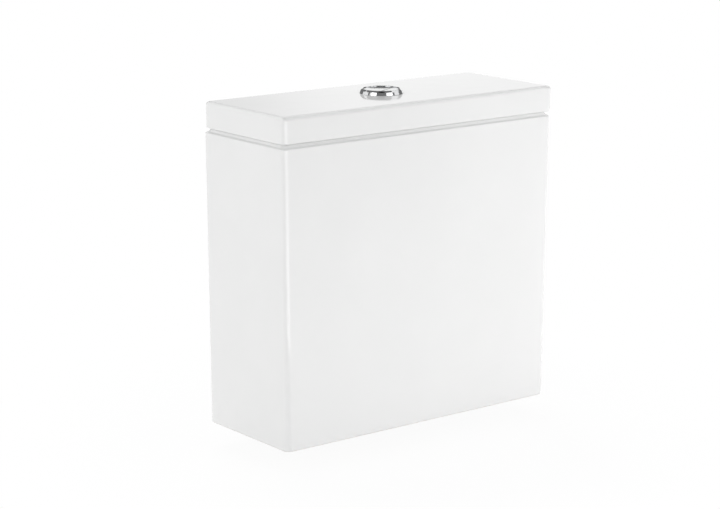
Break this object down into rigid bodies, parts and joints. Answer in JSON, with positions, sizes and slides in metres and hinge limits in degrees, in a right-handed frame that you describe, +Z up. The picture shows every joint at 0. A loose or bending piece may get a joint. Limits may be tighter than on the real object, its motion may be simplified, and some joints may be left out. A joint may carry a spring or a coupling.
{
  "type": "toilet cistern",
  "caption": "Close-coupled ceramic toilet cistern with a lift-off lid, chrome dual-flush push button, lift-tube flush valve and bottom-entry fill valve.",
  "frame": {"origin": "on the outlet axis, in the plane of the rim that stands on the pan", "axes": "+Z up, +Y towards the wall behind the cistern, +X to the right as seen from the front"},
  "size_m": [0.3904, 0.1547, 0.4058],
  "materials": {
    "ceramic": "white gloss glaze",
    "chrome": "bright chrome plating",
    "white_plastic": "moulded",
    "grey_plastic": "moulded",
    "blue_plastic": "moulded",
    "red_plastic": "moulded",
    "black_plastic": "moulded",
    "rubber": "smooth",
    "foam": "closed-cell foam",
    "steel": "zinc plated"
  },
  "bodies": {
    "cistern": {"tank": "ceramic", "valve_base": "white_plastic", "base_gasket": "rubber", "valve_backnut": "black_plastic", "coupling_gasket": "foam", "valve_cage": "grey_plastic", "lever_pin": "steel", "inlet_shank": "white_plastic", "inlet_filter": "blue_plastic", "shank_washer": "rubber", "shank_nut": "black_plastic", "riser_tube": "white_plastic", "height_collar": "grey_plastic", "fill_head": "white_plastic", "diaphragm": "rubber", "head_cap": "black_plastic", "arm_pin": "steel", "fill_downpipe": "white_plastic", "coupling_bolts": "steel", "bolt_seals": "rubber", "bolt_washers": "steel", "floor_washers": "rubber", "bolt_locknuts": "steel"},
    "lid": {"lid": "ceramic", "button_bezel": "chrome", "button_housing": "white_plastic", "housing_nut": "grey_plastic", "full_return_spring": "steel", "half_return_spring": "steel"},
    "full_button": {"full_flush_button": "chrome", "full_push_rod": "white_plastic"},
    "half_button": {"half_flush_button": "chrome", "half_push_rod": "white_plastic"},
    "full_rocker": {"full_lever": "blue_plastic"},
    "half_rocker": {"half_lever": "red_plastic"},
    "lift_tube": {"overflow_tube": "blue_plastic", "flush_seal": "rubber", "seal_retainer": "white_plastic"},
    "partial_flush_float": {"partial_float": "red_plastic"},
    "fill_float_cup": {"fill_float": "blue_plastic", "float_link": "white_plastic", "level_adjuster": "red_plastic"},
    "fill_arm": {"float_arm": "grey_plastic", "pilot_seal": "rubber"}
  },
  "joints": [
    {"name": "lid_lift", "type": "slide", "parent": "cistern", "child": "lid", "axis": [0, 0, 1], "range_m": [0, 0.12]},
    {"name": "full_press", "type": "slide", "parent": "lid", "child": "full_button", "axis": [0, 0, -1], "range_m": [0, 0.006], "stiffness_N_per_m": 160, "springref_m": -0.008, "deforming": ["full_return_spring"]},
    {"name": "half_press", "type": "slide", "parent": "lid", "child": "half_button", "axis": [0, 0, -1], "range_m": [0, 0.006], "stiffness_N_per_m": 160, "springref_m": -0.008, "deforming": ["half_return_spring"]},
    {"name": "full_rock", "type": "hinge", "parent": "cistern", "child": "full_rocker", "pos_m": [0, 0, 0.312], "axis": [-0.9063, -0.4226, 0], "range_deg": [0, 25.69]},
    {"name": "half_rock", "type": "hinge", "parent": "cistern", "child": "half_rocker", "pos_m": [0, 0, 0.312], "axis": [0.9063, 0.4226, 0], "range_deg": [0, 25.69]},
    {"name": "tube_lift", "type": "slide", "parent": "cistern", "child": "lift_tube", "axis": [0, 0, 1], "range_m": [0, 0.00801]},
    {"name": "partial_float_rise", "type": "slide", "parent": "cistern", "child": "partial_flush_float", "axis": [0, 0, 1], "range_m": [0, 0.05]},
    {"name": "fill_float_rise", "type": "slide", "parent": "cistern", "child": "fill_float_cup", "axis": [0, 0, 1], "range_m": [0, 0.0116]},
    {"name": "fill_arm_swing", "type": "hinge", "parent": "cistern", "child": "fill_arm", "pos_m": [-0.132, 0, 0.32249], "axis": [0, 1, 0], "range_deg": [0, 28.01]}
  ],
  "couplings": [
    {"joint": "full_rock", "follows": "full_press", "rad_per_m": 74.698},
    {"joint": "tube_lift", "follows": "full_press", "ratio": 1.3333},
    {"joint": "half_rock", "follows": "half_press", "rad_per_m": 74.698},
    {"joint": "fill_arm_swing", "follows": "fill_float_rise", "rad_per_m": 42.084}
  ]
}
